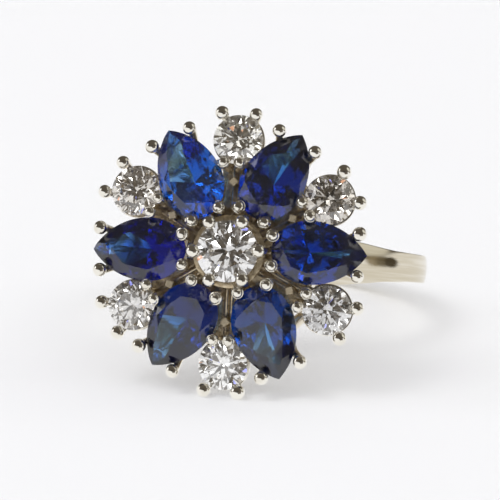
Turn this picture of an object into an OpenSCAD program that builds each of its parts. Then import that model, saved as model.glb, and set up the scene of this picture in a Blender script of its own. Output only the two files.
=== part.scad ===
// Cluster ring: a centre diamond, six pear-shaped sapphires and six outer diamonds,
// each held by ball-ended claws on a soldered wire gallery and a plain tapering shank.
// The ring frame has X across the hand, Y along the finger and Z out through the flower,
// with its origin on the finger's axis. The last step lays the ring down on its side.

/* [Shank] */
// Radius of the finger hole
bore_r = 8.6; // [7.6:0.1:9.4]
// Thickness of the band from the finger to its outer face
band_t = 1.45; // [1.2:0.05:1.8]
// Width of the band at the back of the finger
band_w = 1.8; // [1.6:0.1:2.2]
// Width of the shoulders where they meet the flower
shoulder_w = 3.4; // [2.8:0.1:3.6]
// Radius of the crowned outer face across the band
crown_r = 3.2; // [2.8:0.1:4]

/* [Stones] */
// Diameter of the centre diamond
centre_d = 3.88; // [3.7:0.02:3.9]
// Diameter of each outer diamond
outer_d = 3.12; // [3:0.02:3.14]
// Length of each pear-shaped sapphire
pear_l = 6; // [5.8:0.1:6]
// Width of each pear-shaped sapphire
pear_w = 4; // [3.8:0.1:4]
// Share of the pear's length from its round end to its widest place
pear_wide_at = 0.4; // [0.38:0.01:0.42]

/* [Flower] */
// Height of the sapphires' girdles over the finger's axis
sapphire_h = 16.05; // [15.95:0.05:16.15]
// Height of the outer diamonds' girdles over the finger's axis
outer_h = 15.6; // [15.4:0.1:16.2]
// Height of the centre diamond's girdle over the finger's axis
centre_h = 17; // [16.9:0.1:17.4]
// Outward tilt of the sapphires
sapphire_tilt = 6; // [4:1:7]
// Outward tilt of the outer diamonds
outer_tilt = 8; // [6:1:9]

/* [Claws] */
// Radius of a claw's ball end
ball_r = 0.44; // [0.4:0.01:0.44]
// Radius of a claw's wire
wire_r = 0.27; // [0.22:0.01:0.28]

/* [Hidden] */
$fn = 48;
SAPPHIRES = 6;
OUTERS = 6;

band_r = bore_r + band_t;

// Each row of a seat table: turn round the flower, distance from its middle, height,
// outward tilt, the stone's own turn away from pointing straight out, and how much
// further the two claws at its point are turned
AROUND = 0;
OUT = 1;
UP = 2;
TILT = 3;
OWN = 4;
CLAWS = 5;
centre_seat = [0, 0, centre_h, 0, 0];
sapphire_seats = [
    [2.9, 5.66, sapphire_h, sapphire_tilt, -2, 0],
    [61.8, 5.6, sapphire_h, sapphire_tilt, 1, 0],
    [122.4, 5.62, sapphire_h, sapphire_tilt, -2.5, 0],
    [182.2, 5.76, sapphire_h, sapphire_tilt, 1, 0],
    [239.5, 5.66, sapphire_h, sapphire_tilt, -2, 0],
    [298.4, 5.58, sapphire_h, sapphire_tilt, -9, 7],
];
outer_seats = [
    [31.5, 7.05, outer_h, outer_tilt, 0],
    [90.5, 7.05, outer_h, outer_tilt, 0],
    [151.6, 7.2, outer_h, outer_tilt, 0],
    [212, 7.1, outer_h, outer_tilt, 0],
    [270, 7.1, outer_h, outer_tilt, 0],
    [333, 7.1, outer_h, outer_tilt, 0],
];

// Cut of the stones, as shares of the girdle's radius unless they are angles
girdle_half = 0.045;
mains = 8;
step = 360 / mains;
lower_share = 0.23;
diamond_table = 0.57;
diamond_star = 0.76;
diamond_crown = 34.5;
diamond_pavilion = 40.9;
sapphire_table = 0.66;
sapphire_star = 0.82;
sapphire_crown = 35;
sapphire_pavilion = 41;
cutter = 30;

// Side of the band: half its width at heights from the back of the finger to the flower
band_side = [
    [band_w / 2, -band_r - 1],
    [band_w / 2, 1],
    [band_w / 2 + 0.07, 4.6],
    [band_w / 2 + 0.4, 7],
    [shoulder_w / 2, 9.4],
    [shoulder_w / 2, band_r + 1],
];

// Collets and rails under the stones
collet_drop = 0.43;
collet_wire_r = 0.26;
outer_collet_r = 0.85;
centre_collet_r = 1.05;
rail_drop = 1.3;
rail_t = 0.42;
rail_z = rail_t / 2 - rail_drop;
rail_in = 0.66;
rail_out = 0.82;
rail_mid = (rail_in + rail_out) / 2;
knee_share = 1.08;
knee_out = 0.37;
knee_z = -0.1;

// Flat rings under the round stones, as inner and outer radius, top and height: two close
// under the girdles, and the plate that closes the flower's middle at the back
IN = 0;
WIDE = 1;
TOP = 2;
HIGH = 3;
centre_collar = [1.74, 2.3, -0.5, 0.36];
outer_collar = [1.38, 1.64, -0.34, 0.34];
back_plate = [1, 3, -2.1, 0.35];

// Pegs that stand on the spokes in the gaps between the sapphires
peg_at = 4.4;
peg_r = 0.32;
peg_foot_h = 14.5;
peg_h = 1.15;

// Flat bars under the spokes in the same gaps, as distance and height of both ends
bar_inner = [1.3, 15.18];
bar_outer = [5.9, 14.24];
bar_w = 1.8;
bar_t = 0.3;

// Claws of the centre diamond
centre_claws = 6;
centre_claw_turn = 4;
centre_ball_out = 0.14;
centre_ball_z = 0.6;

// Outer claws of the outer diamonds
outer_claw_turn = 34.7;
outer_ball_out = 0.34;
outer_ball_z = 0.46;

// Inner claws of the outer diamonds, by their distance from the flower's middle and from
// the middle of the gap
inner_wire_r = 0.21;
inner_ball_r = 0.4;
inner_knee_r = 5.12;
inner_knee_y = 0.3;
inner_ball_at = 5.42;
inner_ball_y = 0.5;
inner_ball_z = 0.74;

// Claws on one side of a sapphire: place of the ball along and across the stone, its height,
// and how much further out the wire stands
pear_claws = [
    [2.46, 1.32, 0.4, 0, 0.04],
    [-2.95, 0.96, 0.5, -0.15, 0.1],
];

// Gallery wires
base_ring_r = 4.3;
base_ring_h = 9.45;
base_wire_r = 0.5;
gallery_r = 5.7;
gallery_h = 12.9;
gallery_wire_r = 0.38;
strut_r = 0.3;
spoke_r = 0.22;
spoke_half_gap = 0.2;
spoke_spread = 10;
stem_r = 0.24;
stem_spread = 105;
spoke_h = centre_h - collet_drop * centre_d;

pear_back = pear_l * pear_wide_at;
pear_front = pear_l - pear_back;
pear_half = pear_w / 2;
// The pear's widest place, measured from the middle of its length
pear_x = pear_back - pear_l / 2;
pear_arc_r = (pear_front * pear_front + pear_half * pear_half) / (2 * pear_half);

// A point of a seat's own frame, seen in the ring frame
function seated(seat, p) =
    let (
        q = [cos(seat[OWN]) * p.x - sin(seat[OWN]) * p.y, sin(seat[OWN]) * p.x + cos(seat[OWN]) * p.y],
        x = q.x * cos(seat[TILT]) + p.z * sin(seat[TILT]) + seat[OUT],
        z = p.z * cos(seat[TILT]) - q.x * sin(seat[TILT]) + seat[UP]
    )
    [x * cos(seat[AROUND]) - q.y * sin(seat[AROUND]), x * sin(seat[AROUND]) + q.y * cos(seat[AROUND]), z];

function polar(r, a, z) = [r * cos(a), r * sin(a), z];

// Direction of the middle of the gap that outer diamond i stands in
function gap_middle(i) =
    let (
        before = sapphire_seats[i][AROUND],
        after = sapphire_seats[(i + 1) % SAPPHIRES][AROUND] + (i + 1 == SAPPHIRES ? 360 : 0)
    )
    (before + after) / 2;

// A point at distance r from the flower's middle and y across the gap, in a seat's frame
function across_gap(seat, gap, r, y, z) =
    [r * cos(gap) - y * sin(gap) - seat[OUT], r * sin(gap) + y * cos(gap), z];

module at_seat(seat) {
    rotate([0, 0, seat[AROUND]])
        translate([seat[OUT], 0, seat[UP]])
            rotate([0, seat[TILT], 0])
                rotate([0, 0, seat[OWN]])
                    children();
}

// Straight wire between two points
module rod(a, b, r) {
    d = b - a;
    l = norm(d);
    translate(a)
        rotate([0, acos(d.z / l), atan2(d.y, d.x)])
            cylinder(h = l, r = r);
}

// The part of space where n.p is less than d
module keep_under(n, d) {
    l = norm(n);
    rotate([0, acos(n.z / l), atan2(n.y, n.x)])
        translate([-cutter / 2, -cutter / 2, d / l - cutter])
            cube(cutter);
}

outline_points = 64;
outline_step = 360 / outline_points;

// Girdle outline of a pear that points along X, round its culet
function pear_point(a) =
    abs(a) > 90
        ? [pear_back * cos(a), pear_half * sin(a)]
        : let (t = (1 - abs(a) / 90) * asin(pear_front / pear_arc_r))
          [pear_arc_r * sin(t), (a < 0 ? -1 : 1) * (pear_arc_r * cos(t) - pear_arc_r + pear_half)];
pear_outline = [for (i = [1 - outline_points / 2:outline_points / 2]) pear_point(i * outline_step)];

// Half length of the pear on the side that the direction a faces
function half_length(a) = cos(a) > 0 ? pear_front : pear_back;

// How far the pear reaches along the direction a, with its half lengths counted as one
function reach(a) =
    max([for (p = pear_outline) p.x * cos(a) / half_length(a) + p.y * sin(a) / pear_half]);

// One facet: it leaves the girdle line at height z and would meet the stone's middle line
// at height z + rise. up is 1 on the crown and -1 on the pavilion.
module facet(a, z, rise, up) {
    k = rise / reach(a);
    keep_under([k * cos(a) / half_length(a), k * sin(a) / pear_half, up], z + rise);
}

// A pear-shaped brilliant, cut plane by plane: table, eight stars, eight mains and sixteen
// upper halves over the girdle, sixteen lower halves and eight mains under it
module pear_brilliant() {
    chord = 1 - cos(step / 4);
    crown = tan(sapphire_crown);
    pavilion = tan(sapphire_pavilion);
    star_z = (1 - sapphire_star * cos(step / 2)) * crown;
    upper = star_z / (1 - sapphire_star * cos(step / 4) - chord);
    lower = (1 - lower_share * cos(step / 2)) * pavilion / (1 - lower_share * cos(step / 4) - chord);
    table_z = (1 - sapphire_table) * crown;
    star = (table_z - star_z) / (sapphire_star - sapphire_table * cos(step / 2));
    star_top = star_z + sapphire_star * star;
    crown_foot = girdle_half + chord * upper * pear_half;
    pavilion_foot = girdle_half + chord * lower * pear_half;
    star_foot = crown_foot + (star_top - star) * pear_half;
    translate([pear_x, 0, 0])
        hull()
            intersection() {
                linear_extrude(height = 4 * pear_half, center = true)
                    polygon(pear_outline);
                keep_under([0, 0, 1], crown_foot + table_z * pear_half);
                intersection_for(i = [0:mains - 1])
                    intersection() {
                        facet(i * step, crown_foot, crown * pear_half, 1);
                        facet(i * step, pavilion_foot, pavilion * pear_half, -1);
                        facet((i + 0.5) * step, star_foot, star * pear_half, 1);
                        facet((i + 0.25) * step, girdle_half, upper * pear_half, 1);
                        facet((i + 0.75) * step, girdle_half, upper * pear_half, 1);
                        facet((i + 0.25) * step, girdle_half, lower * pear_half, -1);
                        facet((i + 0.75) * step, girdle_half, lower * pear_half, -1);
                    }
            }
}

// A round brilliant, built from its corners: eight of the table, eight at the stars' tips,
// the girdle's upper and lower line, eight at the lower halves' tips and the culet
module round_brilliant(d) {
    r = d / 2;
    per = outline_points / mains;
    crown = tan(diamond_crown);
    pavilion = tan(diamond_pavilion);
    chord = 1 - cos(step / 4);
    star_rise = (1 - diamond_star * cos(step / 2)) * crown;
    lower_rise = (1 - lower_share * cos(step / 2)) * pavilion;
    upper = star_rise / (1 - diamond_star * cos(step / 4) - chord);
    lower = lower_rise / (1 - lower_share * cos(step / 4) - chord);
    crown_foot = girdle_half + chord * upper * r;
    pavilion_foot = girdle_half + chord * lower * r;
    table_z = crown_foot + (1 - diamond_table) * crown * r;
    star_z = crown_foot + star_rise * r;
    lower_z = pavilion_foot + lower_rise * r;
    culet_z = pavilion_foot + pavilion * r;
    // Height that a row of half facets adds to the girdle line at point k
    function wave(k, slope) = slope * r * (1 - cos((k % (per / 2) - per / 4) * outline_step));
    table_at = 0;
    star_at = mains;
    top_at = 2 * mains;
    under_at = top_at + outline_points;
    lower_at = under_at + outline_points;
    culet_at = lower_at + mains;
    corners = concat(
        [for (i = [0:mains - 1]) polar(diamond_table * r, i * step, table_z)],
        [for (i = [0:mains - 1]) polar(diamond_star * r, (i + 0.5) * step, star_z)],
        [for (k = [0:outline_points - 1]) polar(r, k * outline_step, girdle_half + wave(k, upper))],
        [for (k = [0:outline_points - 1]) polar(r, k * outline_step, -girdle_half - wave(k, lower))],
        [for (i = [0:mains - 1]) polar(lower_share * r, (i + 0.5) * step, -lower_z)],
        [[0, 0, -culet_z]]);
    faces = concat(
        [[for (i = [mains - 1:-1:0]) table_at + i]],
        [for (i = [0:mains - 1]) [star_at + i, table_at + i, table_at + (i + 1) % mains]],
        [for (i = [0:mains - 1])
            [table_at + i, star_at + i, top_at + i * per, star_at + (i + mains - 1) % mains]],
        [for (i = [0:mains - 1], h = [0, per / 2])
            concat(
                [star_at + i],
                [for (k = [per / 2:-1:0]) top_at + (i * per + h + k) % outline_points])],
        [for (k = [0:outline_points - 1])
            let (n = (k + 1) % outline_points) [top_at + k, top_at + n, under_at + n, under_at + k]],
        [for (i = [0:mains - 1], h = [0, per / 2])
            concat(
                [lower_at + i],
                [for (k = [0:per / 2]) under_at + (i * per + h + k) % outline_points])],
        [for (i = [0:mains - 1])
            [culet_at, lower_at + (i + mains - 1) % mains, under_at + i * per, lower_at + i]]);
    polyhedron(corners, faces);
}

// A claw in its seat's frame: a wire from its foot to its knee outside the girdle, then a
// short wire up to the ball over the stone's edge
module claw(foot, knee, ball, wire, end) {
    d = ball - knee;
    l = norm(d);
    rod(foot, knee, wire);
    translate(knee)
        rotate([0, acos(d.z / l), atan2(d.y, d.x)])
            rotate_extrude()
                intersection() {
                    union() {
                        circle(knee_share * wire);
                        translate([-wire, 0])
                            square([2 * wire, l]);
                        translate([0, l])
                            circle(end);
                    }
                    translate([0, -end])
                        square([2 * end, l + 3 * end]);
                }
}

module ring_wire(r, h, wire) {
    translate([0, 0, h])
        rotate_extrude()
            translate([r, 0])
                circle(wire);
}

// A flat ring under a round stone, given by a row of radii and heights
module flat_ring(size) {
    translate([0, 0, size[TOP] - size[HIGH]])
        rotate_extrude()
            translate([size[IN], 0])
                square([size[WIDE] - size[IN], size[HIGH]]);
}

// The finger band, with a crowned outer face and sides that spread towards the flower
module shank() {
    intersection() {
        rotate([90, 0, 0])
            rotate_extrude($fn = 96)
                intersection() {
                    translate([bore_r, -shoulder_w])
                        square([band_t, 2 * shoulder_w]);
                    translate([band_r - crown_r, 0])
                        circle(crown_r);
                }
        rotate([90, 0, 90])
            linear_extrude(height = 3 * band_r, center = true)
                polygon(concat(
                    band_side,
                    [for (i = [len(band_side) - 1:-1:0]) [-band_side[i][0], band_side[i][1]]]));
    }
}

// A claw of a round stone: it rises from the collet to a knee and a ball given by their
// distances from the stone's middle and their direction
module round_claw(d, collet_r, turn, out, z) {
    claw(
        polar(collet_r, turn, -collet_drop * d),
        polar(d / 2 + knee_out, turn, knee_z),
        polar(d / 2 + out, turn, z),
        wire_r, ball_r);
}

module centre_setting() {
    at_seat(centre_seat) {
        ring_wire(centre_collet_r, -collet_drop * centre_d, collet_wire_r);
        flat_ring(centre_collar);
        flat_ring(back_plate);
        for (i = [0:centre_claws - 1])
            round_claw(
                centre_d, centre_collet_r, centre_claw_turn + i * 360 / centre_claws,
                centre_ball_out, centre_ball_z);
    }
}

// An outer diamond's setting. Its two inner claws rise through the gap between the two
// sapphires beside it, whose middle is turned by gap from the stone's own direction.
module outer_setting(i) {
    seat = outer_seats[i];
    gap = gap_middle(i) - seat[AROUND];
    foot_z = -collet_drop * outer_d;
    at_seat(seat) {
        ring_wire(outer_collet_r, foot_z, collet_wire_r);
        flat_ring(outer_collar);
        for (side = [-1, 1]) {
            round_claw(outer_d, outer_collet_r, side * outer_claw_turn, outer_ball_out, outer_ball_z);
            claw(
                [-outer_collet_r, side * inner_knee_y, foot_z],
                across_gap(seat, gap, inner_knee_r, side * inner_knee_y, knee_z),
                across_gap(seat, gap, inner_ball_at, side * inner_ball_y, inner_ball_z),
                inner_wire_r, inner_ball_r);
        }
    }
}

// A sapphire's setting: a pear-shaped rail under the stone and four claws, two at the
// point and two at the round end
module pear_setting(seat) {
    at_seat(seat) {
        translate([pear_x, 0, -rail_drop])
            linear_extrude(height = rail_t)
                difference() {
                    polygon(rail_out * pear_outline);
                    polygon(rail_in * pear_outline);
                }
        for (side = [-1, 1], c = pear_claws)
            rotate([0, 0, c[0] > 0 ? seat[CLAWS] : 0])
                claw(
                    [pear_x + rail_mid * (c[0] - pear_x), side * rail_mid * c[1], rail_z],
                    [c[0] + c[3], side * (c[1] + c[4]), knee_z],
                    [c[0], side * c[1], c[2]],
                    wire_r, ball_r);
    }
}

// Foot of each stone's setting, in the ring frame
function collet_foot(seat, side) =
    seated(seat, polar(outer_collet_r, side * stem_spread, -collet_drop * outer_d));
function rail_front(seat) = seated(seat, [pear_x + rail_mid * pear_front, 0, rail_z]);
function rail_back(seat) = seated(seat, [pear_x - rail_mid * pear_back, 0, rail_z]);

module gallery() {
    ring_wire(base_ring_r, base_ring_h, base_wire_r);
    ring_wire(gallery_r, gallery_h, gallery_wire_r);
    for (seat = concat(sapphire_seats, outer_seats))
        rod(
            polar(base_ring_r, seat[AROUND], base_ring_h),
            polar(gallery_r, seat[AROUND], gallery_h),
            strut_r);
    for (seat = sapphire_seats) {
        rod(polar(gallery_r, seat[AROUND], gallery_h), rail_front(seat), strut_r);
        rod(polar(centre_collet_r, seat[AROUND], spoke_h), rail_back(seat), spoke_r);
    }
    for (seat = outer_seats) {
        for (side = [-1, 1]) {
            rod(polar(gallery_r, seat[AROUND], gallery_h), collet_foot(seat, side), stem_r);
            rod(
                polar(centre_collet_r, seat[AROUND] + spoke_spread * side, spoke_h),
                seated(seat, [-outer_collet_r, side * spoke_half_gap, -collet_drop * outer_d]),
                spoke_r);
        }
    }
}

module pegs() {
    for (i = [0:OUTERS - 1])
        translate(polar(peg_at, gap_middle(i), peg_foot_h))
            rotate([0, 0, gap_middle(i)])
                cylinder(h = peg_h, r = peg_r, $fn = 4);
}

module gap_bars() {
    for (i = [0:OUTERS - 1])
        rotate([90, 0, gap_middle(i)])
            linear_extrude(height = bar_w, center = true)
                polygon([
                    bar_inner - [0, bar_t / 2], bar_outer - [0, bar_t / 2],
                    bar_outer + [0, bar_t / 2], bar_inner + [0, bar_t / 2]]);
}

// The ring rests on the outer balls of its lowest diamond and on the lower edge of the
// back of its band, so its finger axis leans this much from upright
low_seat = outer_seats[4];
low_ball = seated(low_seat, polar(outer_d / 2 + outer_ball_out, outer_claw_turn, outer_ball_z));
edge_r = band_r - crown_r + sqrt(crown_r * crown_r - band_w * band_w / 4);
lean_y = low_ball.y + band_w / 2;
lean_z = low_ball.z + edge_r;
lean = asin(ball_r / norm([lean_y, lean_z])) - atan2(lean_y, lean_z);
lift = band_w / 2 * cos(lean) + edge_r * sin(lean);
front_y = low_ball.y * sin(lean) - low_ball.z * cos(lean) - ball_r;
back_y = band_w / 2 * sin(lean) + edge_r * cos(lean);

module lay_down() {
    translate([0, -(front_y + back_y) / 2, lift])
        rotate([90 - lean, 0, 0])
            children();
}

module mount() {
    color("gainsboro")
        lay_down()
            union() {
                shank();
                gallery();
                pegs();
                gap_bars();
                centre_setting();
                for (seat = sapphire_seats)
                    pear_setting(seat);
                for (i = [0:OUTERS - 1])
                    outer_setting(i);
            }
}

module centre_diamond() {
    color("white")
        lay_down()
            at_seat(centre_seat)
                round_brilliant(centre_d);
}

module sapphire(i) {
    color("mediumblue")
        lay_down()
            at_seat(sapphire_seats[i])
                pear_brilliant();
}

module outer_diamond(i) {
    color("white")
        lay_down()
            at_seat(outer_seats[i])
                round_brilliant(outer_d);
}

mount();
centre_diamond();
for (i = [0:SAPPHIRES - 1])
    sapphire(i);
for (i = [0:OUTERS - 1])
    outer_diamond(i);
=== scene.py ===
import math
import random

import bpy
from mathutils import Matrix, Vector


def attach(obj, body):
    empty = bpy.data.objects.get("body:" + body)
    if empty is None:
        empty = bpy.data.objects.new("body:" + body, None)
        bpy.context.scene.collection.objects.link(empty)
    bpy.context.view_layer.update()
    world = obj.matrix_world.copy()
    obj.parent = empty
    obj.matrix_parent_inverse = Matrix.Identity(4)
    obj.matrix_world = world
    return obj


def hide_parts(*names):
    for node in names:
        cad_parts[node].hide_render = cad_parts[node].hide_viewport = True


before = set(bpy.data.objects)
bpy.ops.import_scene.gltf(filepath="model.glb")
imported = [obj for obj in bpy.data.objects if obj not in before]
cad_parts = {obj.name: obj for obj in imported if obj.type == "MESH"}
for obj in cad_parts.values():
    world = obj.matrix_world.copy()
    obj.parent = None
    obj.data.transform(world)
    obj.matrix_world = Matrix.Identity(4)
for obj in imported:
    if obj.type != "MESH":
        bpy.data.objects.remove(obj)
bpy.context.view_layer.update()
print("stage: frame loaded")

# Sizes are in millimetres and turns in degrees unless a note says otherwise, in the ring's own
# frame: X across the hand, Y along the finger, Z out through the flower.
mm = 0.001

ringPose = {
    "lean": 17.8055,  # how far the finger's axis leans back
    "back": 4.2312,
    "lift": 3.89055,
}

layDown = (
    Matrix.Translation((0, ringPose["back"] * mm, ringPose["lift"] * mm))
    @ Matrix.Rotation(math.radians(90 - ringPose["lean"]), 4, "X")
)

view = {
    "turn": 10.0,  # towards +X from the flower's own axis
    "drop": 1.0,  # below that axis
    "roll": 4.13,
    "distance": 375.0,
    "frameWidth": 31.25,  # what the picture is wide at the stones
    "filmWidth": 36,
    "aim": (0, 0, 16.05),
    "aimAcross": 1.26,  # the aimed point stands this far left of the picture's middle
    "aimUp": 0.11,
    "clip": (0.01, 20),  # metres
}


def placeCamera():
    turn, drop, roll = (math.radians(view[k]) for k in ("turn", "drop", "roll"))
    outward = Vector((math.sin(turn) * math.cos(drop), -math.sin(drop), math.cos(turn) * math.cos(drop)))
    upward = (Vector((0, 1, 0)) - outward * outward.y).normalized()
    across = upward.cross(outward)
    across, upward = (
        across * math.cos(roll) + upward * math.sin(roll),
        upward * math.cos(roll) - across * math.sin(roll),
    )
    middle = Vector(view["aim"]) + across * view["aimAcross"] + upward * view["aimUp"]
    spot = middle + outward * view["distance"]
    turned = Matrix((across, upward, outward)).transposed().to_4x4()
    bpy.ops.object.camera_add()
    camera = bpy.context.object
    camera.name = "camera"
    camera.matrix_world = layDown @ Matrix.Translation(spot * mm) @ turned
    camera.data.sensor_width = view["filmWidth"]
    camera.data.lens = view["filmWidth"] * view["distance"] / view["frameWidth"]
    camera.data.clip_start, camera.data.clip_end = view["clip"]
    bpy.context.scene.camera = camera


placeCamera()
print("stage: camera placed")


# Shader nodes are wired with the calls below. A value is a number, a colour or a node's output.
def setSocket(tree, socket, value):
    if isinstance(value, bpy.types.NodeSocket):
        tree.links.new(value, socket)
    elif socket.type == "RGBA":
        socket.default_value = (*value, 1)
    else:
        socket.default_value = value


def addNode(tree, kind, values, **settings):
    node = tree.nodes.new("ShaderNode" + kind)
    for name, setting in settings.items():
        setattr(node, name, setting)
    for name, value in values.items():
        setSocket(tree, node.inputs[name], value)
    return node


def colourSocket(sockets, name):
    return [s for s in sockets if s.name == name and s.type == "RGBA"][0]


def mixColours(tree, amount, before, after):
    mix = addNode(tree, "Mix", {"Factor": amount}, data_type="RGBA")
    setSocket(tree, colourSocket(mix.inputs, "A"), before)
    setSocket(tree, colourSocket(mix.inputs, "B"), after)
    return colourSocket(mix.outputs, "Result")


def mixNumbers(tree, amount, before, after):
    return addNode(tree, "Mix", {"Factor": amount, "A": before, "B": after}).outputs["Result"]


# Nothing before the start, one past the end, and the end may be the lower of the two.
def smoothRamp(tree, source, start, end):
    values = {"Value": source, "From Min": start, "From Max": end}
    return addNode(tree, "MapRange", values, interpolation_type="SMOOTHSTEP").outputs["Result"]


def calculate(tree, operation, first, second=0):
    return addNode(tree, "Math", {0: first, 1: second}, operation=operation).outputs[0]


# A noise is given by how many of its grains fit a unit, its detail and its roughness.
def noiseAt(tree, place, look):
    values = {
        "Vector": place,
        "Scale": look["grain"],
        "Detail": look["detail"],
        "Roughness": look.get("rough", 0.5),
    }
    return addNode(tree, "TexNoise", values).outputs["Fac"]


def patches(tree, place, look):
    return smoothRamp(tree, noiseAt(tree, place, look), *look["from"])


def stretched(tree, place, scale, turned=(0, 0, 0)):
    values = {"Vector": place, "Scale": scale, "Rotation": turned}
    return addNode(tree, "Mapping", values).outputs["Vector"]


# What the ring mirrors: a plain brown-grey room over a white table, with pale cards in it.
# A card stands at an azimuth from the front towards +X and a height over the floor, and fades
# from its colour within the first angle to nothing past the second.
studio = {
    "room": (0.1, 0.086, 0.07),
    "horizon": (0.96, 0.96, 0.97),
    "horizonTop": 11,  # the white table's sweep ends here
    "horizonFade": 7,
    "cards": [
        {"at": (30, -1), "fade": (13, 17), "colour": (0.11, 0.09, 0.072)},  # dark room in front
        {"at": (54, 0), "fade": (13, 17), "colour": (0.11, 0.09, 0.072)},  # and at the right
        {"at": (-84, 24), "fade": (9, 15), "colour": (1.9, 1.9, 1.95)},  # window at the left
        {"at": (176, 10), "fade": (12, 18), "colour": (0.35, 0.34, 0.32)},  # back wall
        {"at": (106, 34), "fade": (18, 26), "colour": (0.74, 0.72, 0.65)},  # lights the shoulder
        {"at": (10, 20), "fade": (11, 17), "colour": (0.03, 0.028, 0.026)},  # dark behind the camera
        {"at": (94, 6), "fade": (6, 11), "colour": (0.34, 0.29, 0.205)},  # these three make the
        {"at": (102, 3), "fade": (6, 10), "colour": (0.18, 0.152, 0.105)},  # dark streak that
        {"at": (110, 0), "fade": (6, 9), "colour": (0.085, 0.071, 0.05)},  # the band mirrors
    ],
}


def unitVector(azimuth, height):
    a, h = math.radians(azimuth), math.radians(height)
    return (math.sin(a) * math.cos(h), -math.cos(a) * math.cos(h), math.sin(h))


def buildWorld():
    world = bpy.data.worlds.new("studio")
    bpy.context.scene.world = world
    world.use_nodes = True
    tree = world.node_tree
    tree.nodes.clear()
    direction = addNode(tree, "TexCoord", {}).outputs["Generated"]
    height = addNode(tree, "SeparateXYZ", {0: direction}).outputs["Z"]
    top, fade = studio["horizonTop"], studio["horizonFade"]
    low, high = (math.sin(math.radians(top + side * fade / 2)) for side in (-1, 1))
    colour = mixColours(tree, smoothRamp(tree, height, low, high), studio["horizon"], studio["room"])
    for card in studio["cards"]:
        values = {0: direction, 1: unitVector(*card["at"])}
        towards = addNode(tree, "VectorMath", values, operation="DOT_PRODUCT").outputs["Value"]
        near, far = (math.cos(math.radians(angle)) for angle in card["fade"])
        colour = mixColours(tree, smoothRamp(tree, towards, far, near), colour, card["colour"])
    shade = addNode(tree, "Background", {"Color": colour})
    addNode(tree, "OutputWorld", {"Surface": shade.outputs["Background"]})


# Each lamp has an azimuth and a height, how wide it looks, its power and its colour. These two
# light the table and its shadow and are left out of the ring's mirror pictures.
tableLamps = [
    {"name": "key lamp", "at": (-52, 56), "soft": 26, "power": 0.5, "colour": (1.0, 0.995, 0.97)},
    {"name": "fill lamp", "at": (20, 80), "soft": 120, "power": 1.38, "colour": (0.96, 0.97, 1.0)},
]

# These are seen only through the stones: windows, two coloured lamps and small sparks.
stoneLamps = [
    {"name": "right window", "at": (66, 44), "soft": 22, "power": 0.24, "colour": (1.0, 1.0, 1.0)},
    {"name": "upper window", "at": (-6, 74), "soft": 40, "power": 0.46, "colour": (1.0, 1.0, 1.0)},
    {"name": "warm lamp", "at": (-30, 50), "soft": 9, "power": 0.02, "colour": (1.0, 0.5, 0.3)},
    {"name": "violet lamp", "at": (40, 24), "soft": 7, "power": 0.018, "colour": (0.3, 0.33, 1.0)},
]
spark = {"name": "spark", "soft": 6.4, "power": 0.06, "colour": (1.0, 1.0, 1.0)}
sparksAt = [
    (-52, 38), (-20, 66), (6, 44), (28, 60), (34, 12),
    (-14, 30), (58, 26), (-62, 12), (84, 58), (-100, 48),
]
stoneLamps += [{**spark, "at": at} for at in sparksAt]
lampDistance = 0.4  # metres, only where a lamp is drawn: it lights from its direction alone


def addLamps(lamps, throughStones):
    for lamp in lamps:
        away = Vector(unitVector(*lamp["at"]))
        bpy.ops.object.light_add(type="SUN", location=away * lampDistance)
        light = bpy.context.object
        light.name = lamp["name"]
        light.data.angle = math.radians(lamp["soft"])
        light.data.energy = lamp["power"]
        light.data.color = lamp["colour"]
        light.rotation_euler = away.to_track_quat("Z", "Y").to_euler()
        light.visible_glossy = False
        light.visible_transmission = throughStones
        light.visible_diffuse = not throughStones


table = {
    "size": 6,  # metres
    "colour": (0.93, 0.94, 0.96),
    "glow": (0.965, 0.965, 1.0),  # a light table
    "glowStrength": 0.255,
}


def addTable():
    bpy.ops.object.select_all(action="DESELECT")
    bpy.ops.mesh.primitive_plane_add(size=table["size"], location=(0, 0, 0))
    floor = bpy.context.object
    floor.name = "floor"
    material = bpy.data.materials.new("pale floor")
    material.use_nodes = True
    shader = material.node_tree.nodes["Principled BSDF"]
    shader.inputs["Base Color"].default_value = (*table["colour"], 1)
    shader.inputs["Roughness"].default_value = 1
    shader.inputs["Specular IOR Level"].default_value = 0
    shader.inputs["Emission Color"].default_value = (*table["glow"], 1)
    shader.inputs["Emission Strength"].default_value = table["glowStrength"]
    floor.data.materials.append(material)
    floor.visible_glossy = False  # the studio above holds the table as the ring mirrors it
    floor.visible_transmission = False


buildWorld()
addLamps(tableLamps, throughStones=False)
addLamps(stoneLamps, throughStones=True)
addTable()
scene = bpy.context.scene
scene.view_settings.view_transform = "Standard"
scene.cycles.max_bounces = 32
scene.cycles.transmission_bounces = 32
scene.cycles.glossy_bounces = 12
scene.cycles.diffuse_bounces = 4
scene.cycles.denoising_input_passes = "RGB"  # the stones' own normals only add grain
print("stage: light and floor")


flower = {
    # turn round the flower, distance from its middle, the stone's own turn and the extra turn of
    # the claws at its point
    "sapphires": [
        (2.9, 5.66, -2, 0),
        (61.8, 5.6, 1, 0),
        (122.4, 5.62, -2.5, 0),
        (182.2, 5.76, 1, 0),
        (239.5, 5.66, -2, 0),
        (298.4, 5.58, -9, 7),
    ],
    "sapphireHeight": 16.05,
    "sapphireTilt": 6,
    # turn round the flower, distance from its middle
    "diamonds": [(31.5, 7.05), (90.5, 7.05), (151.6, 7.2), (212, 7.1), (270, 7.1), (333, 7.1)],
    "diamondHeight": 15.6,
    "diamondTilt": 8,
    "diamondRadius": 1.56,
    "centreHeight": 17.0,
    "centreRadius": 1.94,
}


def turnedTo(turn):
    return Matrix.Rotation(math.radians(turn), 4, "Z")


def seatPlace(turn, out, height, tilt, own):
    place = turnedTo(turn) @ Matrix.Translation((out, 0, height))
    return place @ Matrix.Rotation(math.radians(tilt), 4, "Y") @ turnedTo(own)


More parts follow.
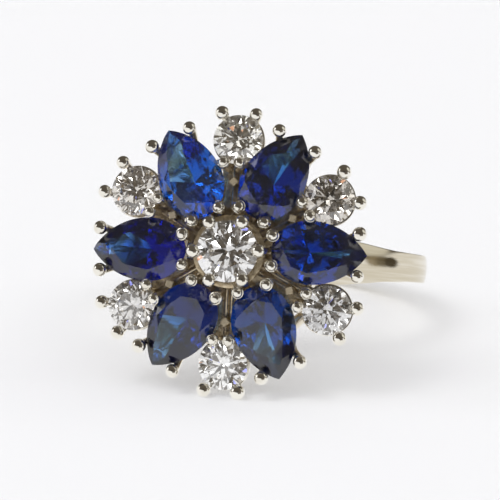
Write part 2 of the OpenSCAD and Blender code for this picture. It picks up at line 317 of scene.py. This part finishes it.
centreSeat = seatPlace(0, 0, flower["centreHeight"], 0, 0)
sapphireSeats = [
    seatPlace(turn, out, flower["sapphireHeight"], flower["sapphireTilt"], own)
    for turn, out, own, extra in flower["sapphires"]
]
diamondSeats = [
    seatPlace(turn, out, flower["diamondHeight"], flower["diamondTilt"], 0)
    for turn, out in flower["diamonds"]
]


def polar(radius, turn, height):
    return Vector((radius * math.cos(math.radians(turn)), radius * math.sin(math.radians(turn)), height))


metalParts = []  # all that is soldered together at the end
mergeWithin = 0.0005  # corners nearer than this become one


def clearSelection():
    if bpy.context.object and bpy.context.object.mode != "OBJECT":
        bpy.ops.object.mode_set(mode="OBJECT")
    bpy.ops.object.select_all(action="DESELECT")


def pickOnly(part):
    clearSelection()
    part.select_set(True)
    bpy.context.view_layer.objects.active = part


# Turns every face outwards and leaves edit mode.
def closeUp():
    bpy.ops.mesh.select_all(action="SELECT")
    bpy.ops.mesh.normals_make_consistent(inside=False)
    bpy.ops.object.mode_set(mode="OBJECT")


# Puts a part's place into its mesh.
def settle(part, place=Matrix.Identity(4)):
    part.data.transform(place @ part.matrix_world)
    part.matrix_world = Matrix.Identity(4)


# A part drawn out from a filled circle: each step of the profile is a radius and a height.
def turnedPart(name, profile, sides):
    clearSelection()
    bpy.ops.mesh.primitive_circle_add(
        vertices=sides, radius=profile[0][0], fill_type="NGON", location=(0, 0, profile[0][1])
    )
    part = bpy.context.object
    part.name = name
    bpy.ops.object.mode_set(mode="EDIT")
    bpy.ops.mesh.select_all(action="SELECT")
    for (wide, low), (nextWide, high) in zip(profile, profile[1:]):
        bpy.ops.mesh.extrude_region_move(TRANSFORM_OT_translate={"value": (0, 0, high - low)})
        grow = nextWide / wide
        bpy.ops.transform.resize(value=(grow, grow, 1), center_override=(0, 0, high))
    closeUp()
    settle(part)
    return part


def copyPart(part, place):
    pickOnly(part)
    bpy.ops.object.duplicate()
    copy = bpy.context.object
    copy.data.transform(place)
    metalParts.append(copy)


def dropPart(part):
    pickOnly(part)
    bpy.ops.object.delete()


# A place whose origin is at the start and whose Z axis runs ahead.
def directed(start, ahead, side):
    place = Matrix((side, ahead.cross(side), ahead)).transposed().to_4x4()
    place.translation = start
    return place


def alongWire(start, end):
    ahead = (end - start).normalized()
    return directed(start, ahead, ahead.orthogonal().normalized())


solder = {
    # how wide the solder is beside its wire, and how far up the wire, at a joint and a claw's foot
    "jointSteps": [(1.4, 0), (1.316, 0.066), (1.1, 0.143), (1.0, 0.22)],
    "clawSteps": [(1.3, 0), (1.12, 0.12), (1.0, 0.26)],
    "sides": 14,
    "bendSteps": 6,
    "smoothUpTo": 32,  # faces that meet at less than this look like one
}


# A straight wire with solder drawn up at both ends.
def addWire(name, start, end, radius):
    length = (end - start).length
    joint = [(radius * w, z) for w, z in solder["jointSteps"]]
    profile = joint + [(r, length - z) for r, z in reversed(joint)]
    part = turnedPart(name, profile, solder["sides"])
    part.data.transform(alongWire(start, end))
    metalParts.append(part)


# A claw's wire: out from its foot, round a soft bend and in over the stone's edge to its tip.
def bentWirePart(name, foot, knee, tip, radius, bend):
    first, second = knee - foot, tip - knee
    turn = first.angle(second)
    cut = bend * math.tan(turn / 2)
    straight = first.length - cut
    profile = [(radius * w, z) for w, z in solder["clawSteps"]] + [(radius, straight)]
    part = turnedPart(name, profile, solder["sides"])
    pickOnly(part)
    bpy.ops.object.mode_set(mode="EDIT")
    bpy.ops.mesh.select_mode(type="FACE")
    bpy.ops.mesh.select_all(action="DESELECT")
    bpy.ops.object.mode_set(mode="OBJECT")
    for face in part.data.polygons:  # only the one that closes the upper end
        face.select = face.normal.z > 0.9 and face.center.z > straight - 0.01
    bpy.ops.object.mode_set(mode="EDIT")
    for _ in range(solder["bendSteps"]):
        bpy.ops.mesh.extrude_region_move()
        bpy.ops.transform.rotate(
            value=-turn / solder["bendSteps"], orient_axis="Y", center_override=(bend, 0, straight)
        )
    reach = second.length - cut
    bpy.ops.mesh.extrude_region_move(
        TRANSFORM_OT_translate={"value": (math.sin(turn) * reach, 0, math.cos(turn) * reach)}
    )
    closeUp()
    upward = first.normalized()
    inward = (second - upward * second.dot(upward)).normalized()
    part.data.transform(directed(foot, upward, inward))
    return part


bead = {
    "radius": 0.44,
    "sides": 30,
    "rows": 18,
    "neck": 0.24,  # radius of the solder neck under the ball
    "neckDrop": 0.52,
    "open": 0.03,  # radians left at the top, closed by the last face
    "sizeSpread": 0.05,  # how much the beads differ from each other
}

# A bead that stands in a rolled collar, from its neck to its top: radius and height.
collaredBead = {
    "profile": [
        (0.2, -0.5), (0.235, -0.4), (0.31, -0.31), (0.38, -0.21), (0.42, -0.1), (0.435, 0.02),
        (0.425, 0.1), (0.395, 0.155), (0.362, 0.172), (0.345, 0.165), (0.335, 0.19), (0.318, 0.235),
        (0.285, 0.29), (0.235, 0.34), (0.17, 0.38), (0.09, 0.402), (0.012, 0.408),
    ],
    "sides": 32,
}

beadDice = random.Random(11)


def roundBeadPart():
    radius, rows = bead["radius"], bead["rows"]
    lowest = math.asin(bead["neck"] / radius)
    arc = math.pi - bead["open"] - lowest
    turns = [lowest + arc * i / rows for i in range(rows + 1)]
    ball = [(radius * math.sin(a), -radius * math.cos(a)) for a in turns]
    return turnedPart("roundBead", [(bead["neck"], -bead["neckDrop"])] + ball, bead["sides"])


# Each bead stands along the last of its wire, and no two are quite the same.
def placeBead(knee, tip, scale):
    size = scale * (1 + bead["sizeSpread"] * (2 * beadDice.random() - 1))
    squash = 1 + bead["sizeSpread"] * (2 * beadDice.random() - 1)
    lean = Matrix.Rotation(beadDice.random() * 2 * math.pi, 4, "Z")
    return alongWire(tip, tip * 2 - knee) @ lean @ Matrix.Diagonal((size, size * squash, size, 1))


gallery = {
    "baseRadius": 4.3,
    "baseHeight": 9.45,
    "baseWire": 0.5,
    "upperRadius": 5.7,
    "upperHeight": 12.9,
    "upperWire": 0.38,
    "strut": 0.3,
    "spoke": 0.22,
    "spokeHalfGap": 0.2,
    "spokeSpread": 10,
    "stem": 0.24,
    "stemSpread": 105,
}

ringWire = {"around": 96, "section": 16, "flatness": 0.94}

collets = {
    "wire": 0.26,
    "centreRadius": 1.05,
    "outerRadius": 0.85,
    "drop": 0.43,  # share of the stone's diameter
}


# Height of a diamond's collet beside the middle of its stone.
def colletHeight(stoneRadius):
    return -collets["drop"] * 2 * stoneRadius


pear = {
    "front": 3.6,
    "back": 2.4,
    "half": 2.0,
    "culet": -0.6,
    "railIn": 0.66,
    "railOut": 0.82,
    "railTop": -0.88,
    "railHigh": 0.42,
}
railMiddle = (pear["railIn"] + pear["railOut"]) / 2  # the rail beside the stone's own outline
railHeight = pear["railTop"] - pear["railHigh"] / 2

flatRings = {
    "centre": (1.74, 2.3, -0.5, 0.36),  # inner radius, outer radius, top, height
    "outer": (1.38, 1.64, -0.34, 0.34),
    "plate": (1.0, 3.0, -2.1, 0.35),
    "softEdge": 0.05,
    "corners": 64,  # of an outline
    "sharpOver": 60,  # edges that turn more than this are softened
}

peg = {"at": 4.4, "radius": 0.32, "foot": 14.5, "top": 15.65, "softEdge": 0.05}

# A flat bar under each pair of spokes, between two points given by distance and height.
gapBar = {"from": (1.3, 15.18), "to": (5.9, 14.24), "wide": 1.8, "thick": 0.3, "softEdge": 0.07}


def addRingWire(name, radius, height, wire, place=Matrix.Identity(4)):
    clearSelection()
    bpy.ops.mesh.primitive_torus_add(
        major_radius=radius,
        minor_radius=wire,
        major_segments=ringWire["around"],
        minor_segments=ringWire["section"],
        location=(0, 0, height),
    )
    part = bpy.context.object
    part.name = name
    bpy.ops.object.mode_set(mode="EDIT")
    bpy.ops.mesh.select_all(action="SELECT")
    bpy.ops.transform.resize(value=(1, 1, ringWire["flatness"]), center_override=(0, 0, height))
    bpy.ops.object.mode_set(mode="OBJECT")
    settle(part, place)
    metalParts.append(part)


def pearPoint(turn):
    across = pear["half"] * math.sin(math.radians(turn))
    if abs(turn) > 90:
        return Vector((pear["back"] * math.cos(math.radians(turn)), across))
    arc = (pear["front"] ** 2 + pear["half"] ** 2) / (2 * pear["half"])
    lean = (1 - abs(turn) / 90) * math.asin(pear["front"] / arc)
    side = -1 if turn < 0 else 1
    return Vector((arc * math.sin(lean), side * (arc * math.cos(lean) - arc + pear["half"])))


corners = flatRings["corners"]
roundOutline = [polar(1, 360 * i / corners, 0) for i in range(corners)]
pearOutline = [pearPoint(360 * i / corners) for i in range(1 - corners // 2, corners // 2 + 1)]


# A flat ring with softened edges, drawn from a closed outline.
def flatRingPart(name, outline, inner, outer, top, high):
    clearSelection()
    bpy.ops.mesh.primitive_circle_add(vertices=len(outline), radius=1, fill_type="NOTHING")
    part = bpy.context.object
    part.name = name
    for vertex, point in zip(part.data.vertices, outline):
        vertex.co = (point.x * inner, point.y * inner, top - high)
    bpy.ops.object.mode_set(mode="EDIT")
    bpy.ops.mesh.select_mode(type="VERT")
    bpy.ops.mesh.select_all(action="SELECT")
    for grow, rise in ((outer / inner, 0), (1, high), (inner / outer, 0), (1, -high)):
        bpy.ops.mesh.extrude_region_move(TRANSFORM_OT_translate={"value": (0, 0, rise)})
        bpy.ops.transform.resize(value=(grow, grow, 1), center_override=(0, 0, 0))
    bpy.ops.mesh.select_all(action="SELECT")
    bpy.ops.mesh.remove_doubles(threshold=mergeWithin)
    bpy.ops.mesh.normals_make_consistent(inside=False)
    bpy.ops.mesh.select_all(action="DESELECT")
    bpy.ops.mesh.select_mode(type="EDGE")
    bpy.ops.mesh.edges_select_sharp(sharpness=math.radians(flatRings["sharpOver"]))
    bpy.ops.mesh.bevel(offset=flatRings["softEdge"], segments=2, affect="EDGES")
    bpy.ops.object.mode_set(mode="OBJECT")
    return part


# The turn halfway between a sapphire and the next one round the flower.
def gapMiddle(i):
    here = flower["sapphires"][i][0]
    after = flower["sapphires"][(i + 1) % 6][0] + (360 if i == 5 else 0)
    return (here + after) / 2


# A lozenge seen from above, with the edges of its top taken off.
def pegPart():
    radius, top, soft = peg["radius"], peg["top"], peg["softEdge"]
    return turnedPart("peg", [(radius, peg["foot"]), (radius, top - soft), (radius - soft, top)], 4)


# A plain bar with rounded long edges, drawn out along the gap.
def gapBarPart():
    start, end = (Vector((gapBar[k][0], 0, gapBar[k][1])) for k in ("from", "to"))
    clearSelection()
    bpy.ops.mesh.primitive_plane_add(size=1)
    part = bpy.context.object
    part.name = "gapBar"
    bpy.ops.object.mode_set(mode="EDIT")
    bpy.ops.mesh.select_all(action="SELECT")
    bpy.ops.transform.resize(value=(gapBar["wide"], gapBar["thick"], 1))
    bpy.ops.mesh.bevel(offset=gapBar["softEdge"], segments=3, affect="VERTICES")
    bpy.ops.mesh.extrude_region_move(TRANSFORM_OT_translate={"value": (0, 0, (end - start).length)})
    closeUp()
    part.data.transform(directed(start, (end - start).normalized(), Vector((0, 1, 0))))
    return part


def addGallery():
    g = gallery
    addRingWire("baseRing", g["baseRadius"], g["baseHeight"], g["baseWire"])
    addRingWire("upperRing", g["upperRadius"], g["upperHeight"], g["upperWire"])
    for row in flower["sapphires"] + flower["diamonds"]:
        foot = polar(g["baseRadius"], row[0], g["baseHeight"])
        addWire("strut", foot, polar(g["upperRadius"], row[0], g["upperHeight"]), g["strut"])
    spokeHeight = flower["centreHeight"] + colletHeight(flower["centreRadius"])
    for row, seat in zip(flower["sapphires"], sapphireSeats):
        front = seat @ Vector((pear["culet"] + railMiddle * pear["front"], 0, railHeight))
        back = seat @ Vector((pear["culet"] - railMiddle * pear["back"], 0, railHeight))
        addWire("post", polar(g["upperRadius"], row[0], g["upperHeight"]), front, g["strut"])
        addWire("spoke", polar(collets["centreRadius"], row[0], spokeHeight), back, g["spoke"])
    footHeight = colletHeight(flower["diamondRadius"])
    for row, seat in zip(flower["diamonds"], diamondSeats):
        for side in (-1, 1):
            foot = seat @ polar(collets["outerRadius"], side * g["stemSpread"], footHeight)
            addWire("stem", polar(g["upperRadius"], row[0], g["upperHeight"]), foot, g["stem"])
            inner = polar(collets["centreRadius"], row[0] + g["spokeSpread"] * side, spokeHeight)
            outer = seat @ Vector((-collets["outerRadius"], side * g["spokeHalfGap"], footHeight))
            addWire("spoke", inner, outer, g["spoke"])
    for model, out in ((pegPart(), peg["at"]), (gapBarPart(), 0)):
        for i in range(6):
            copyPart(model, turnedTo(gapMiddle(i)) @ Matrix.Translation((out, 0, 0)))
        dropPart(model)


clawKinds = {
    "centre": {
        "count": 6,
        "turn": 4,
        "footRadius": collets["centreRadius"],
        "footHeight": colletHeight(flower["centreRadius"]),
        "kneeRadius": 2.31,
        "tipRadius": 2.08,
        "tipHeight": 0.6,
    },
    "outer": {
        "turn": 34.7,
        "footRadius": collets["outerRadius"],
        "footHeight": colletHeight(flower["diamondRadius"]),
        "kneeRadius": 1.93,
        "tipRadius": 1.9,
        "tipHeight": 0.46,
    },
    "inner": {
        "wire": 0.21,
        "kneeAt": 5.12,
        "kneeAcross": 0.3,
        "tipAt": 5.42,
        "tipAcross": 0.5,
        "tipHeight": 0.74,
        "bead": 0.92,  # its bead beside the common one
    },
    # along, across, height of the tip, and how far its knee stands outwards along and across
    "pear": [(2.46, 1.32, 0.4, 0, 0.04), (-2.95, 0.96, 0.5, -0.15, 0.1)],
    "kneeHeight": -0.1,
    "wire": 0.27,
    "bend": 0.34,
}


# One claw is modelled and copied to each place, with a bead of its own on every copy.
def addClaws(name, points, places, beadPart, wire=clawKinds["wire"], beadScale=1.0):
    foot, knee, tip = points
    model = bentWirePart(name, foot, knee, tip, wire, clawKinds["bend"])
    for place in places:
        copyPart(model, place)
        copyPart(beadPart, place @ placeBead(knee, tip, beadScale))
    dropPart(model)


# Foot, knee and tip of a claw that stands straight out from its stone's middle.
def clawPoints(kind, turn):
    return (
        polar(kind["footRadius"], turn, kind["footHeight"]),
        polar(kind["kneeRadius"], turn, clawKinds["kneeHeight"]),
        polar(kind["tipRadius"], turn, kind["tipHeight"]),
    )


def addCentreClaws(beadPart):
    kind = clawKinds["centre"]
    turns = [kind["turn"] + 360 * i / kind["count"] for i in range(kind["count"])]
    addClaws("centreClaw", clawPoints(kind, 0), [centreSeat @ turnedTo(t) for t in turns], beadPart)
    addRingWire("centreCollet", kind["footRadius"], kind["footHeight"], collets["wire"], centreSeat)


def addOuterClaws(beadPart):
    kind = clawKinds["outer"]
    for side in (-1, 1):
        addClaws("outerClaw", clawPoints(kind, side * kind["turn"]), diamondSeats, beadPart)
    for seat in diamondSeats:
        addRingWire("outerCollet", kind["footRadius"], kind["footHeight"], collets["wire"], seat)


# The inner claws of an outer diamond stand in line with the gap between its two sapphires.
def addInnerClaws(beadPart):
    kind = clawKinds["inner"]
    footHeight = colletHeight(flower["diamondRadius"])
    for i, (turn, out) in enumerate(flower["diamonds"]):
        gap = math.radians(gapMiddle(i) - turn)

        def inGap(along, aside, height):
            x = along * math.cos(gap) - aside * math.sin(gap) - out
            return Vector((x, along * math.sin(gap) + aside * math.cos(gap), height))

        for side in (-1, 1):
            points = (
                Vector((-collets["outerRadius"], side * kind["kneeAcross"], footHeight)),
                inGap(kind["kneeAt"], side * kind["kneeAcross"], clawKinds["kneeHeight"]),
                inGap(kind["tipAt"], side * kind["tipAcross"], kind["tipHeight"]),
            )
            addClaws("innerClaw", points, [diamondSeats[i]], beadPart, kind["wire"], kind["bead"])


def addSapphireClaws(pointBead, roundEndBead):
    pointSeats = [seat @ turnedTo(row[3]) for row, seat in zip(flower["sapphires"], sapphireSeats)]
    for along, across, height, kneeAlong, kneeAcross in clawKinds["pear"]:
        for side in (-1, 1):
            footAlong = pear["culet"] + railMiddle * (along - pear["culet"])
            points = (
                Vector((footAlong, side * railMiddle * across, railHeight)),
                Vector((along + kneeAlong, side * (across + kneeAcross), clawKinds["kneeHeight"])),
                Vector((along, side * across, height)),
            )
            if along > 0:
                addClaws("pointClaw", points, pointSeats, pointBead)
            else:
                addClaws("roundEndClaw", points, sapphireSeats, roundEndBead)


def addFlatRings():
    railSizes = (pear["railIn"], pear["railOut"], pear["railTop"], pear["railHigh"])
    railSeats = [seat @ Matrix.Translation((pear["culet"], 0, 0)) for seat in sapphireSeats]
    for name, outline, sizes, seats in (
        ("rail", pearOutline, railSizes, railSeats),
        ("centreCollar", roundOutline, flatRings["centre"], [centreSeat]),
        ("backPlate", roundOutline, flatRings["plate"], [centreSeat]),
        ("seatRing", roundOutline, flatRings["outer"], diamondSeats),
    ):
        model = flatRingPart(name, outline, *sizes)
        for seat in seats:
            copyPart(model, seat)
        dropPart(model)


def addSettings():
    plain = roundBeadPart()
    collared = turnedPart("collaredBead", collaredBead["profile"], collaredBead["sides"])
    addCentreClaws(plain)
    addOuterClaws(plain)
    addInnerClaws(collared)
    addSapphireClaws(plain, collared)
    addFlatRings()
    dropPart(plain)
    dropPart(collared)


band = {
    "bore": 8.6,
    "thick": 1.45,
    "widest": 3.4,
    "crown": 3.2,  # radius of the outer face across the band
    "steps": 168,
    "cutsAcross": 13,
    "softEdge": 0.07,
    "softSteps": 6,
    # half the band's width at heights from the back of the finger to the flower
    "halfWidths": [
        (-12, 0.9), (1.0, 0.9), (3.0, 0.925), (4.6, 0.975), (5.8, 1.1),
        (7.0, 1.3), (8.3, 1.52), (9.4, 1.7), (12, 1.7),
    ],
}


def halfWidth(height):
    rows = band["halfWidths"]
    for (low, a), (high, b) in zip(rows, rows[1:]):
        if height <= high:
            return a + (b - a) * (height - low) / (high - low)
    return rows[-1][1]


def crownAt(across):
    outer = band["bore"] + band["thick"]
    return outer - band["crown"] + math.sqrt(band["crown"] ** 2 - across**2)


# The widest section is spun all round, then drawn in to the width that the band has there.
def addBand():
    bore, thick, widest = band["bore"], band["thick"], band["widest"]
    clearSelection()
    bpy.ops.mesh.primitive_plane_add(size=1, location=(bore + thick / 2, 0, 0))
    part = bpy.context.object
    part.name = "fingerBand"
    bpy.ops.object.mode_set(mode="EDIT")
    bpy.ops.mesh.select_mode(type="VERT")
    bpy.ops.mesh.select_all(action="SELECT")
    bpy.ops.transform.resize(value=(thick, widest, 1), center_override=(bore + thick / 2, 0, 0))
    bpy.ops.mesh.delete(type="ONLY_FACE")
    bpy.ops.mesh.select_all(action="SELECT")
    bpy.ops.mesh.bevel(offset=band["softEdge"], segments=band["softSteps"], affect="VERTICES")
    bpy.ops.mesh.select_all(action="DESELECT")
    bpy.ops.object.mode_set(mode="OBJECT")
    settle(part)
    for edge in part.data.edges:  # only the two long ones, across the band
        ends = [part.data.vertices[v].co for v in edge.vertices]
        edge.select = abs(ends[0].y - ends[1].y) > 1
    bpy.ops.object.mode_set(mode="EDIT")
    bpy.ops.mesh.select_mode(type="EDGE")
    bpy.ops.mesh.subdivide(number_cuts=band["cutsAcross"])
    bpy.ops.mesh.select_all(action="SELECT")
    bpy.ops.mesh.spin(steps=band["steps"], angle=2 * math.pi, center=(0, 0, 0), axis=(0, 1, 0))
    bpy.ops.mesh.select_all(action="SELECT")
    bpy.ops.mesh.remove_doubles(threshold=mergeWithin)
    closeUp()
    for vertex in part.data.vertices:
        x, y, z = vertex.co
        radius = math.hypot(x, z)
        inset = max(widest / 2 - abs(y), 0)
        half, corner = halfWidth(z), band["softEdge"]
        shrink = (half - corner) / (widest / 2 - corner)
        drawnIn = math.copysign(half - min(inset, corner) - max(inset - corner, 0) * shrink, y)
        share = (radius - bore) / thick
        crowned = bore + share * (crownAt(drawnIn) - bore)
        vertex.co = (x * crowned / radius, drawnIn, z * crowned / radius)
    metalParts.append(part)


# Everything the goldsmith solders together becomes one closed skin.
def solderTogether(name):
    body, *others = metalParts
    bench = bpy.data.collections.new("bench")
    bpy.context.scene.collection.children.link(bench)
    for part in others:
        for home in list(part.users_collection):
            home.objects.unlink(part)
        bench.objects.link(part)
    pickOnly(body)
    weld = body.modifiers.new("solder", "BOOLEAN")
    weld.operation = "UNION"
    weld.operand_type = "COLLECTION"
    weld.collection = bench
    weld.solver = "MANIFOLD"
    bpy.ops.object.modifier_apply(modifier="solder")
    for part in others:
        bpy.data.objects.remove(part)
    bpy.data.collections.remove(bench)
    body.name = name
    body.data.transform(layDown @ Matrix.Scale(mm, 4))
    pickOnly(body)
    bpy.ops.object.shade_smooth_by_angle(angle=math.radians(solder["smoothUpTo"]))
    return body


addBand()
addGallery()
addSettings()
print("stage: metal parts made,", len(metalParts))
ringMount = solderTogether("ringMount")
print("stage: metal soldered,", len(ringMount.data.polygons), "faces")
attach(ringMount, "root")
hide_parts("mount")


# The pairs below are where a change starts and where it is complete.
whiteGold = {
    "colour": (0.9, 0.87, 0.79),
    "worn": (0.82, 0.78, 0.69),
    "wear": {"grain": 1.3, "detail": 4, "from": (0.42, 0.66)},
    "polish": (0.035, 0.11),  # roughness from bright to worn
    "scratches": {
        "stretch": (2.2, 30, 2.2),
        "turned": (0.5, 0.3, 0.9),  # radians
        "grain": 1.6,
        "detail": 2,
        "rough": 0.6,
        "strength": 0.06,
        "depth": 0.00002,  # metres
    },
}

# The dull film low in the flower, where no cloth reaches, is also painted shade: it darkens the metal
# under and between the stones.
patinaAndShade = {
    "colour": (0.7, 0.58, 0.39),
    "stain": (0.44, 0.345, 0.215),  # where the film is thick
    "rubbed": (0.95, 0.81, 0.57),  # where it is rubbed pale, as on the tops of the pegs
    "roughness": 0.3,
    "metal": 0.78,  # the film is partly dull
    "rubbedMetal": 0.5,
    "below": (16.75, 16.1),
    "within": (7.6, 6.2),
    "middleBelow": (17.0, 16.85),  # it reaches higher close round the centre diamond
    "middleWithin": (2.7, 2.3),
    "above": (12.6, 13.8),  # none on the gallery and the band
    "mottle": {"grain": 3.4, "detail": 3, "rough": 0.6},
    "stainFrom": (0.5, 0.38),
    "rubbedFrom": (0.58, 0.68),
    "pegAbove": (15.5, 15.6),
    "pegWithin": (0.55, 0.45),  # distance from the ring on which the pegs stand
}

# The band is dulled by wear and has fine streaks along it.
bandWear = {
    "colour": (0.76, 0.71, 0.6),
    "streak": (0.63, 0.57, 0.44),
    "below": (10.2, 8.8),
    "stretch": (0.12, 3.6, 0.12),
    "streaks": {"grain": 1, "detail": 4, "rough": 0.6, "from": (0.4, 0.64)},
}


def newMaterial(name):
    material = bpy.data.materials.new(name)
    material.use_nodes = True
    return material, material.node_tree, material.node_tree.nodes["Principled BSDF"]


# The ring's own millimetres, whichever way it lies.
def ringCoordinates(tree):
    values = {
        "Vector": addNode(tree, "TexCoord", {}).outputs["Object"],
        "Location": layDown.translation,
        "Rotation": (math.radians(90 - ringPose["lean"]), 0, 0),
        "Scale": (mm, mm, mm),
    }
    return addNode(tree, "Mapping", values, vector_type="TEXTURE").outputs["Vector"]


def reachFromAxis(tree, place):
    flat = addNode(tree, "VectorMath", {0: place, 1: (1, 1, 0)}, operation="MULTIPLY").outputs[0]
    return addNode(tree, "VectorMath", {0: flat}, operation="LENGTH").outputs["Value"]


def addFineLines(tree, shader, place, lines):
    along = stretched(tree, place, lines["stretch"], lines["turned"])
    values = {
        "Strength": lines["strength"],
        "Distance": lines["depth"],
        "Height": noiseAt(tree, along, lines),
    }
    setSocket(tree, shader.inputs["Normal"], addNode(tree, "Bump", values).outputs["Normal"])


# Where the brown film lies, which is also painted shade on the metal under and between the stones.
def filmAndShadeAmount(tree, reach, height):
    low = smoothRamp(tree, height, *patinaAndShade["below"])
    within = smoothRamp(tree, reach, *patinaAndShade["within"])
    nearMiddle = smoothRamp(tree, reach, *patinaAndShade["middleWithin"])
    lowThere = smoothRamp(tree, height, *patinaAndShade["middleBelow"])
    middle = calculate(tree, "MULTIPLY", nearMiddle, lowThere)
    filmAndShade = calculate(tree, "MAXIMUM", calculate(tree, "MULTIPLY", low, within), middle)
    return calculate(tree, "MULTIPLY", filmAndShade, smoothRamp(tree, height, *patinaAndShade["above"]))


def rubbedAmount(tree, reach, height, mottle):
    away = calculate(tree, "ABSOLUTE", calculate(tree, "SUBTRACT", reach, peg["at"]))
    overPeg = smoothRamp(tree, height, *patinaAndShade["pegAbove"])
    pegTop = calculate(tree, "MULTIPLY", smoothRamp(tree, away, *patinaAndShade["pegWithin"]), overPeg)
    return calculate(tree, "MAXIMUM", smoothRamp(tree, mottle, *patinaAndShade["rubbedFrom"]), pegTop)


def whiteGoldMaterial():
    material, tree, shader = newMaterial("white gold")
    place = ringCoordinates(tree)
    height = addNode(tree, "SeparateXYZ", {0: place}).outputs["Z"]
    reach = reachFromAxis(tree, place)

    wear = patches(tree, place, whiteGold["wear"])
    bright = mixColours(tree, wear, whiteGold["colour"], whiteGold["worn"])

    streaks = patches(tree, stretched(tree, place, bandWear["stretch"]), bandWear["streaks"])
    bandColour = mixColours(tree, streaks, bandWear["colour"], bandWear["streak"])
    bright = mixColours(tree, smoothRamp(tree, height, *bandWear["below"]), bright, bandColour)

    # The film below is a brown film and painted shade together, low in the flower under the stones.
    filmAndShade = filmAndShadeAmount(tree, reach, height)
    mottle = noiseAt(tree, place, patinaAndShade["mottle"])
    rubbed = rubbedAmount(tree, reach, height, mottle)
    stained = smoothRamp(tree, mottle, *patinaAndShade["stainFrom"])
    filmAndShadeColour = mixColours(tree, stained, patinaAndShade["colour"], patinaAndShade["stain"])
    filmAndShadeColour = mixColours(tree, rubbed, filmAndShadeColour, patinaAndShade["rubbed"])
    filmAndShadeMetal = mixNumbers(tree, rubbed, patinaAndShade["metal"], patinaAndShade["rubbedMetal"])
    polish = mixNumbers(tree, wear, *whiteGold["polish"])

    setSocket(tree, shader.inputs["Base Color"], mixColours(tree, filmAndShade, bright, filmAndShadeColour))
    setSocket(tree, shader.inputs["Roughness"], mixNumbers(tree, filmAndShade, polish, patinaAndShade["roughness"]))
    setSocket(tree, shader.inputs["Metallic"], mixNumbers(tree, filmAndShade, 1, filmAndShadeMetal))
    addFineLines(tree, shader, place, whiteGold["scratches"])
    return material


ringMount.data.materials.clear()
ringMount.data.materials.append(whiteGoldMaterial())
print("stage: white gold")


sapphireLook = {
    "ior": 1.77,
    # how clear each stone is, the rest being fine silk, and how strongly it takes red, green and
    # blue out of the light, per metre
    "stones": {
        "sapphire_1": (0.983, (1500, 700, 280)),
        "sapphire_2": (0.985, (1700, 870, 380)),
        "sapphire_3": (0.981, (1000, 440, 130)),
        "sapphire_4": (0.989, (1950, 1080, 330)),
        "sapphire_5": (0.992, (1700, 850, 430)),
        "sapphire_6": (0.992, (1300, 680, 350)),
    },
    "pale": (0.96, 0.98, 1.0),
    "band": (0.6, 0.675, 1.0),  # growth bands a little deeper in colour
    "bands": {"grain": 1.1, "detail": 2, "from": (0.35, 0.65)},
    "wear": {"grain": 6, "detail": 2, "from": (0.55, 0.8)},
    "polish": (0.035, 0.08),  # roughness from bright to worn
    # pale specks at the inner ends, where the claws stand close: dust, and painted reflections of the
    # claws in the stone
    "dustAndGlints": {"grain": 13, "detail": 1, "from": (0.66, 0.71), "within": (4.8, 3.2)},
    "dustAndGlintsRoughness": 0.55,
    "dustAndGlintsClear": 0.75,
    "lines": {
        "stretch": (0.9, 9, 0.9),
        "turned": (0.4, 0.2, 0.6),  # radians
        "grain": 1.4,
        "detail": 3,
        "rough": 0.55,
        "strength": 0.1,
        "depth": 0.00003,  # metres
    },
}

diamondLook = {
    "ior": 2.417,
    "clouds": {"grain": 1.7, "detail": 2, "from": (0.4, 0.7)},
    "cloud": (0.985, 0.98, 0.955),  # what a cloud leaves of the stone's own tint
    "polish": (0.0, 0.012),
    "tints": {
        "centre_diamond": (1.0, 1.0, 1.0),
        "outer_diamond_1": (0.8, 0.76, 0.7),
        "outer_diamond_2": (1.0, 0.99, 0.94),
        "outer_diamond_3": (0.96, 0.93, 0.88),
        "outer_diamond_4": (0.85, 0.84, 0.82),
        "outer_diamond_5": (1.0, 1.0, 0.99),
        "outer_diamond_6": (0.91, 0.91, 0.91),
    },
}


def absorbLight(tree, depths):
    strongest = max(depths) * 1.05  # so that no part of the colour is quite zero
    values = {"Color": [1 - d / strongest for d in depths], "Density": strongest}
    inside = addNode(tree, "VolumeAbsorption", values).outputs["Volume"]
    setSocket(tree, tree.nodes["Material Output"].inputs["Volume"], inside)


def sapphireMaterial(name):
    look = sapphireLook
    clear, depths = look["stones"][name]
    material, tree, shader = newMaterial(name.replace("_", " ") + " blue")
    shader.inputs["IOR"].default_value = look["ior"]
    place = ringCoordinates(tree)
    bands = patches(tree, place, look["bands"])
    # The specks are dust and also painted reflections of the nearby claws.
    inner = smoothRamp(tree, reachFromAxis(tree, place), *look["dustAndGlints"]["within"])
    dustAndGlints = calculate(tree, "MULTIPLY", inner, patches(tree, place, look["dustAndGlints"]))
    polish = mixNumbers(tree, patches(tree, place, look["wear"]), *look["polish"])
    setSocket(tree, shader.inputs["Base Color"], mixColours(tree, bands, look["band"], look["pale"]))
    setSocket(tree, shader.inputs["Roughness"], mixNumbers(tree, dustAndGlints, polish, look["dustAndGlintsRoughness"]))
    setSocket(tree, shader.inputs["Transmission Weight"], mixNumbers(tree, dustAndGlints, clear, look["dustAndGlintsClear"]))
    absorbLight(tree, depths)
    addFineLines(tree, shader, place, look["lines"])
    return material


def diamondMaterial(name):
    look = diamondLook
    tint = look["tints"][name]
    clouded = tuple(t * c for t, c in zip(tint, look["cloud"]))
    material, tree, shader = newMaterial(name.replace("_", " ") + " white")
    shader.inputs["IOR"].default_value = look["ior"]
    shader.inputs["Transmission Weight"].default_value = 1
    clouds = patches(tree, ringCoordinates(tree), look["clouds"])
    setSocket(tree, shader.inputs["Base Color"], mixColours(tree, clouds, tint, clouded))
    setSocket(tree, shader.inputs["Roughness"], mixNumbers(tree, clouds, *look["polish"]))
    return material


for name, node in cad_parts.items():
    if name == "mount":
        continue
    stoneMaterial = sapphireMaterial if "sapphire" in name else diamondMaterial
    node.data.materials.clear()
    node.data.materials.append(stoneMaterial(name))
    node.data.shade_flat()
print("stage: stones")
